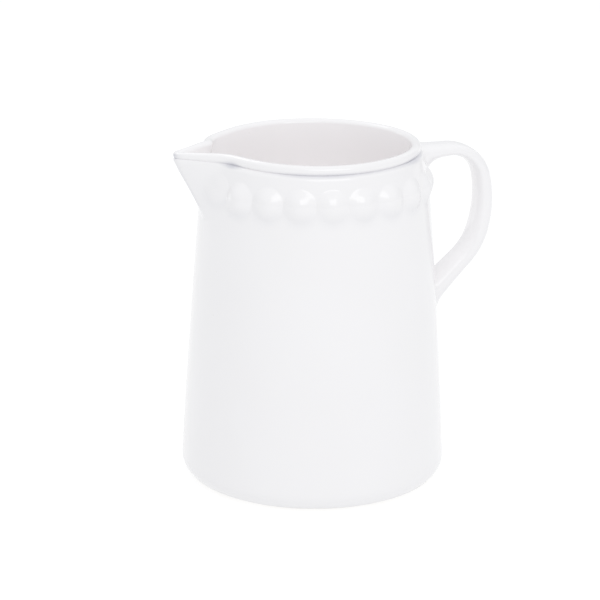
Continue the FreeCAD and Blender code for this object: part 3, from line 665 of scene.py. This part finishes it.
def make_handle():
    """The pulled strap, with both ends thumbed out on to the wall."""
    s, line, tangent, half_width, half_thick = strap_line()
    n = 96
    u = np.arange(n) * 2 * np.pi / n
    across = np.sign(np.cos(u)) * np.abs(np.cos(u)) ** STRAP_POWER
    out = np.sign(np.sin(u)) * np.abs(np.sin(u)) ** STRAP_POWER
    out = np.where(out < 0, out * INNER_SIDE, out)

    def tube(at, k):
        """Point of the bare strap at length at[...] on section ray k."""
        x = np.interp(at, s, line[:, 0])
        z = np.interp(at, s, line[:, 1])
        tx, tz = np.interp(at, s, tangent[:, 0]), np.interp(at, s, tangent[:, 1])
        w, t = np.interp(at, s, half_width), np.interp(at, s, half_thick)
        return np.stack([x - tz * t * out[k], w * across[k], z + tx * t * out[k]], -1)

    def clearance(p):
        """How far a point lies outside the wall, measured outward from the axis."""
        phi = np.arctan2(-p[..., 1], -p[..., 0])
        return np.hypot(p[..., 0], p[..., 1]) - outer_radius(phi, p[..., 2])

    def meets(k, first):
        """Length along the strap where ray k passes through the skin."""
        at = np.linspace(0, 16, 321) if first else np.linspace(s[-1], s[-1] - 26, 521)
        c = clearance(tube(at, k))
        i = int(np.argmax(c > 0))
        return at[i - 1] + (at[i] - at[i - 1]) * c[i - 1] / (c[i - 1] - c[i])

    def flare(k, first):
        """Tangent length of the fillet on ray k."""
        beside, outer, inner = ROOT_FILLET if first else END_FILLET
        towards_inner = max(-out[k], 0) ** (2 if first else 1)
        return beside + (outer - beside) * max(out[k], 0) + (inner - beside) * towards_inner

    def end(k, first):
        """Length where the fillet of ray k ends on the strap, and its points from the wall up."""
        hit, run = meets(k, first), flare(k, first)
        start = hit + run if first else hit - run
        edge, on_tube = tube(np.array([hit]), k)[0], tube(np.array([start]), k)[0]
        phi = np.arctan2(-edge[1], -edge[0])
        normal = skin_normal(np.array([phi]), np.array([edge[2]]))[0]
        # away from the strap, along the wall
        tx, tz = np.interp(hit, s, tangent[:, 0]), np.interp(hit, s, tangent[:, 1])
        beside = np.array([-tz * out[k] / half_thick.mean(), across[k] / half_width.mean(),
                           tx * out[k] / half_thick.mean()])
        beside -= normal * (beside @ normal)
        beside /= np.linalg.norm(beside)
        on_wall = edge + beside * run
        t = np.linspace(0, 1, CURVE_POINTS)[:, None]
        bend = (1 - t) ** 2 * on_wall + 2 * t * (1 - t) * edge + t ** 2 * on_tube
        for _ in range(2):                               # follow the wall's own curve
            above = (bend - edge) @ normal
            now = clearance(bend) * math.hypot(normal[0], normal[1])
            weight = np.clip(1 - above / max(run, 1e-6), 0, 1)
            bend = bend + normal * ((above - now) * weight)[:, None]
        bend[:len(FEATHER)] -= normal * np.array(FEATHER)[:, None]
        root = (on_wall - normal * ROOT_DEPTH)[None]
        return start, np.concatenate([root, bend])

    grid = np.zeros((STRAP_STEPS + 2 * (CURVE_POINTS + 1), n, 3))
    for k in range(n):
        (a, first_end), (b, last_end) = end(k, True), end(k, False)
        middle = tube(a + (b - a) * np.linspace(0, 1, STRAP_STEPS + 2)[1:-1], k)
        grid[:, k] = np.concatenate([first_end, middle, last_end[::-1]])
    rows = grid.shape[0]
    points = grid.reshape(-1, 3)
    faces = ring_faces(rows, n)
    centres = np.array([grid[0].mean(0), grid[-1].mean(0)])
    cap(faces, 0, n, len(points), flip=True)
    cap(faces, (rows - 1) * n, n, len(points) + 1)
    return make_mesh("handle_glazed", np.concatenate([points, centres]), faces)


# --- Materials ------------------------------------------------------------------------------

def new_material(name):
    """A material with its node tree, its shader and a coordinate in metres on the object."""
    material = bpy.data.materials.new(name)
    material.use_nodes = True
    tree = material.node_tree
    shader = tree.nodes["Principled BSDF"]
    coord = tree.nodes.new("ShaderNodeTexCoord").outputs["Object"]
    return material, tree, shader, coord


def noise(tree, coord, scale, detail=3.0, rough=0.5, distortion=0.0):
    node = tree.nodes.new("ShaderNodeTexNoise")
    node.inputs["Scale"].default_value = scale
    node.inputs["Detail"].default_value = detail
    node.inputs["Roughness"].default_value = rough
    node.inputs["Distortion"].default_value = distortion
    tree.links.new(coord, node.inputs["Vector"])
    return node.outputs["Fac"]


def ramp(tree, value, low, high, out_low=0.0, out_high=1.0):
    """Soft step from one output to the other as the value goes from low to high."""
    node = tree.nodes.new("ShaderNodeMapRange")
    node.interpolation_type = "SMOOTHSTEP"
    for key, number in (("From Min", low), ("From Max", high), ("To Min", out_low),
                        ("To Max", out_high)):
        node.inputs[key].default_value = number
    tree.links.new(value, node.inputs["Value"])
    return node.outputs["Result"]


def calc(tree, operation, a, b=None):
    node = tree.nodes.new("ShaderNodeMath")
    node.operation = operation
    for socket, value in zip(node.inputs, (a, b)):
        if isinstance(value, (int, float)):
            socket.default_value = value
        elif value is not None:
            tree.links.new(value, socket)
    return node.outputs[0]


def mix(tree, share, a, b):
    node = tree.nodes.new("ShaderNodeMix")
    node.data_type = "RGBA"
    for socket, value in ((node.inputs["Factor"], share), (node.inputs[6], a),
                          (node.inputs[7], b)):
        if isinstance(value, (int, float, tuple)):
            socket.default_value = value
        else:
            tree.links.new(value, socket)
    return node.outputs[2]


def attribute(tree, name):
    node = tree.nodes.new("ShaderNodeAttribute")
    node.attribute_name = name
    return node.outputs["Fac"]


def bumps(tree, shader, heights):
    """Chain of bump nodes: (height, distance in metres, strength)."""
    last = None
    for height, distance, strength in heights:
        node = tree.nodes.new("ShaderNodeBump")
        node.inputs["Distance"].default_value = distance
        node.inputs["Strength"].default_value = strength
        tree.links.new(height, node.inputs["Height"])
        if last is not None:
            tree.links.new(last, node.inputs["Normal"])
        last = node.outputs["Normal"]
    tree.links.new(last, shader.inputs["Normal"])


WHITE = (0.972, 0.955, 0.961, 1)
THIN_WHITE = (0.963, 0.944, 0.949, 1)
# brighter white for the inside: painted light
INSIDE_LIGHT_WHITE = (0.986, 0.967, 0.969, 1)
# blue grey for pooled glaze, painted shade and painted shadow
SHADE_AND_POOL_GREY = (0.34, 0.35, 0.45, 1)
IRON_SPECK = (0.62, 0.58, 0.53, 1)
CLAY, PALE_CLAY = (0.79, 0.74, 0.67, 1), (0.87, 0.835, 0.78, 1)
GRIT = (0.42, 0.35, 0.28, 1)


def glaze(name):
    """White glaze: clear gloss over a soft white body, a little uneven in thickness, with rare
    faint specks, a brighter white painted inside as light, and blue grey for pooled glaze and
    painted shade."""
    material, tree, shader, coord = new_material(name)
    clouds = ramp(tree, noise(tree, coord, 22, 3, 0.5, 0.3), 0.35, 0.68)
    inside, tint = (attribute(tree, key) for key in ("inside", "pool_and_shade"))
    # the inside is mixed to the brighter white, painted light
    colour = mix(tree, inside, mix(tree, clouds, THIN_WHITE, WHITE), INSIDE_LIGHT_WHITE)
    uneven = ramp(tree, noise(tree, coord, 70, 2), 0.3, 0.7, 0.72, 1.0)
    # blue grey tint: pooled glaze and painted shade in the groove, painted shade on the keel,
    # painted shadow below the beads, a darker spot at the tip
    colour = mix(tree, calc(tree, "MULTIPLY", tint, uneven), colour, SHADE_AND_POOL_GREY)
    pin = tree.nodes.new("ShaderNodeTexVoronoi")
    pin.inputs["Scale"].default_value = 95
    tree.links.new(coord, pin.inputs["Vector"])
    speck = ramp(tree, pin.outputs["Distance"], 0.055, 0.02)
    rare = ramp(tree, noise(tree, coord, 31, 1), 0.60, 0.66)
    speck = calc(tree, "MULTIPLY", speck, rare)
    colour = mix(tree, calc(tree, "MULTIPLY", speck, 0.2), colour, IRON_SPECK)
    tree.links.new(colour, shader.inputs["Base Color"])
    tree.links.new(ramp(tree, noise(tree, coord, 38, 3), 0.3, 0.7, 0.13, 0.22),
                   shader.inputs["Roughness"])
    shader.inputs["IOR"].default_value = 1.52
    shader.inputs["Coat Weight"].default_value = 0.35
    shader.inputs["Coat Roughness"].default_value = 0.06
    bumps(tree, shader, [(noise(tree, coord, 26, 1), 0.0008, 0.10),
                         (noise(tree, coord, 150, 2), 0.00012, 0.10),
                         (speck, -0.00015, 0.5)])
    return material


def bare_clay(name):
    """Unglazed foot: warm off-white, dull and gritty."""
    material, tree, shader, coord = new_material(name)
    colour = mix(tree, ramp(tree, noise(tree, coord, 60, 4), 0.3, 0.7), CLAY, PALE_CLAY)
    grit = ramp(tree, noise(tree, coord, 1500, 2, 0.6), 0.60, 0.72)
    colour = mix(tree, calc(tree, "MULTIPLY", grit, 0.35), colour, GRIT)
    tree.links.new(colour, shader.inputs["Base Color"])
    tree.links.new(ramp(tree, noise(tree, coord, 300, 3), 0.3, 0.7, 0.72, 0.92),
                   shader.inputs["Roughness"])
    shader.inputs["IOR"].default_value = 1.45
    bumps(tree, shader, [(noise(tree, coord, 900, 4, 0.6), 0.0002, 0.35), (grit, 0.0001, 0.4)])
    return material


# --- Assembly -------------------------------------------------------------------------------

def finish_piece(obj, material, slot, *nodes):
    """Gives the piece its material and its body, and hides the CAD nodes that it stands for."""
    obj.data.materials.append(material)
    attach(obj, "root")
    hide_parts(*nodes)


white = glaze("white_glaze_look")
lip_white = glaze("lip_glaze_look")
clay = bare_clay("bare_clay_look")
finish_piece(make_vessel(), white, "white_glaze", "vessel_wall", "spout")
finish_piece(make_foot(), clay, "bare_clay", "foot_ring")
finish_piece(make_lip(), lip_white, "lip_glaze", "rolled_lip")
finish_piece(make_handle(), white, "white_glaze", "handle")
for bead in BEADS:
    finish_piece(make_bead(bead), white, "white_glaze", bead)


# --- Floor, light and camera ----------------------------------------------------------------

PAPER, PALE_PAPER = (0.44, 0.44, 0.44, 1), (0.46, 0.46, 0.46, 1)
PAPER_GLOW = 0.66                                  # light that the paper sends out by itself
AIR = (0.957, 0.976, 1.0, 1)
AIR_LEVEL, AIR_TOP, AIR_BELOW = 0.672, 0.83, 0.26  # at eye level, overhead, and added from below
PRINT_GAMMA = 1.5                                  # a high-key print of a white pot
BOUNCES = 32                                       # light goes many times round a white inside


def make_floor():
    """Pale paper, lit evenly, that is clear when it is seen from below."""
    half = 6.0                                           # metres to each side
    mesh = bpy.data.meshes.new("studio_floor")
    mesh.from_pydata([(-half, -half, 0), (half, -half, 0), (half, half, 0), (-half, half, 0)],
                     [], [(0, 1, 2, 3)])
    floor = bpy.data.objects.new("studio_floor", mesh)
    bpy.context.scene.collection.objects.link(floor)
    material, tree, shader, coord = new_material("floor_paper")
    colour = mix(tree, noise(tree, coord, 3, 2), PAPER, PALE_PAPER)
    tree.links.new(colour, shader.inputs["Base Color"])
    shader.inputs["Roughness"].default_value = 0.85
    shader.inputs["Specular IOR Level"].default_value = 0.1
    shader.inputs["Emission Color"].default_value = (1, 1, 1, 1)
    shader.inputs["Emission Strength"].default_value = PAPER_GLOW
    back = tree.nodes.new("ShaderNodeNewGeometry").outputs["Backfacing"]
    clear, either = (tree.nodes.new(kind) for kind in ("ShaderNodeBsdfTransparent",
                                                       "ShaderNodeMixShader"))
    for value, socket in ((back, either.inputs[0]), (shader.outputs[0], either.inputs[1]),
                          (clear.outputs[0], either.inputs[2]),
                          (either.outputs[0], tree.nodes["Material Output"].inputs["Surface"])):
        tree.links.new(value, socket)
    floor.data.materials.append(material)
    floor.visible_diffuse = False
    floor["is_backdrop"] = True


def area_light(name, place, aim, size, power):
    light = bpy.data.lights.new(name, "AREA")
    light.shape = "RECTANGLE"
    light.size, light.size_y = size
    light.energy = power
    obj = bpy.data.objects.new(name, light)
    bpy.context.scene.collection.objects.link(obj)
    obj.location = place
    obj.rotation_mode = "QUATERNION"
    obj.rotation_quaternion = (Vector(aim) - Vector(place)).to_track_quat("-Z", "Y")


def make_light(middle):
    """A pale room, a soft key light in front and above, a lamp behind that reaches into the
    mouth, and a strip each side that draws the bands along the gloss."""
    world = bpy.data.worlds.new("studio_air")
    world.use_nodes = True
    tree = world.node_tree
    direction = tree.nodes.new("ShaderNodeTexCoord").outputs["Generated"]
    split = tree.nodes.new("ShaderNodeSeparateXYZ")
    tree.links.new(direction, split.inputs["Vector"])
    background = tree.nodes["Background"]
    background.inputs["Color"].default_value = AIR
    overhead = ramp(tree, split.outputs["Z"], 0.0, 1.0, AIR_LEVEL, AIR_TOP)
    below = ramp(tree, split.outputs["Z"], -1.0, 0.0, AIR_BELOW, 0.0)
    tree.links.new(calc(tree, "ADD", overhead, below), background.inputs["Strength"])
    bpy.context.scene.world = world
    area_light("key_softbox", (0.0, -1.45, 1.15), middle, (1.3, 0.95), 7.1)
    area_light("mouth_light", (-0.35, 0.85, 1.3), middle, (0.4, 0.4), 1.4)
    area_light("left_strip", (-0.46, 0.59, 0.42), middle, (0.04, 0.9), 0.22)
    area_light("right_strip", (0.62, 0.52, 0.42), middle, (0.16, 0.9), 0.15)


AZIMUTH, ROLL = -17.0, 0.39                   # degrees round the pitcher, and tilt of the horizon
CAMERA_BACK, CAMERA_UP = 1.0971, 0.4275       # metres from the pitcher's axis, above the floor
AIM_SIDE, AIM_UP = -0.0069, 0.0883            # where the view's middle crosses the axis plane
LENS, SENSOR = 138.0, 36.0                    # millimetres


def make_camera():
    data = bpy.data.cameras.new("camera")
    data.sensor_width, data.lens = SENSOR, LENS
    data.clip_start, data.clip_end = 0.05, 50
    camera = bpy.data.objects.new("camera", data)
    bpy.context.scene.collection.objects.link(camera)
    a = AZIMUTH * DEG
    back, side = Vector((math.sin(a), -math.cos(a), 0)), Vector((math.cos(a), math.sin(a), 0))
    camera.location = back * CAMERA_BACK + Vector((0, 0, CAMERA_UP))
    aim = side * AIM_SIDE + Vector((0, 0, AIM_UP))
    look = (aim - camera.location).to_track_quat("-Z", "Y")
    camera.rotation_mode = "QUATERNION"
    camera.rotation_quaternion = look @ Quaternion((0, 0, 1), ROLL * DEG)
    bpy.context.scene.camera = camera


make_floor()
low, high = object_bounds()
make_light(Vector(((low.x + high.x) / 2, 0, (low.z + high.z) / 2)))
make_camera()
scene = bpy.context.scene
scene.view_settings.view_transform = "Standard"
scene.view_settings.gamma = PRINT_GAMMA
scene.cycles.max_bounces = BOUNCES
scene.cycles.diffuse_bounces = BOUNCES
